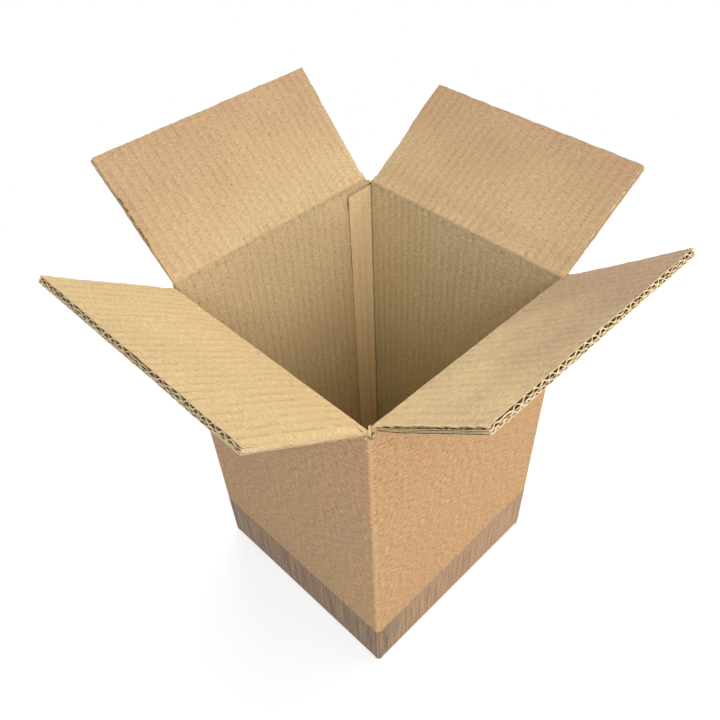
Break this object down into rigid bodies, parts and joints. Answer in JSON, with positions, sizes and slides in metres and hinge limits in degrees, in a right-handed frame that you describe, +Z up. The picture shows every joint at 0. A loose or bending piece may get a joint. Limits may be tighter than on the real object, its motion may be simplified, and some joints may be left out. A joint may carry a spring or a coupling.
{
  "type": "shipping box",
  "caption": "Tall square slotted shipping box of double-wall corrugated board, bottom taped shut, top flaps standing open on score lines.",
  "frame": {"origin": "centre of the base on the floor", "axes": "+Z up, front wall towards -Y, right wall towards +X"},
  "size_m": [0.3828, 0.4021, 0.4143],
  "materials": {
    "board": "kraft liner, uncoated",
    "tape": "brown packing tape, thin clear film"
  },
  "bodies": {
    "box": {"carton": "board", "band_tape": "tape", "seam_tape": "tape"},
    "front": {"flap_front": "board"},
    "back": {"flap_back": "board"},
    "left": {"flap_left": "board"},
    "right": {"flap_right": "board"}
  },
  "joints": [
    {"name": "front_fold", "type": "hinge", "parent": "box", "child": "front", "pos_m": [0, -0.11, 0.3322], "axis": [1, 0, 0], "range_deg": [-145.5, 114.5]},
    {"name": "back_fold", "type": "hinge", "parent": "box", "child": "back", "pos_m": [0, 0.11, 0.3322], "axis": [-1, 0, 0], "range_deg": [-149.5, 110.5]},
    {"name": "left_fold", "type": "hinge", "parent": "box", "child": "left", "pos_m": [-0.11, 0, 0.3364], "axis": [0, -1, 0], "range_deg": [-136, 124]},
    {"name": "right_fold", "type": "hinge", "parent": "box", "child": "right", "pos_m": [0.11, 0, 0.3364], "axis": [0, 1, 0], "range_deg": [-142, 118]}
  ]
}
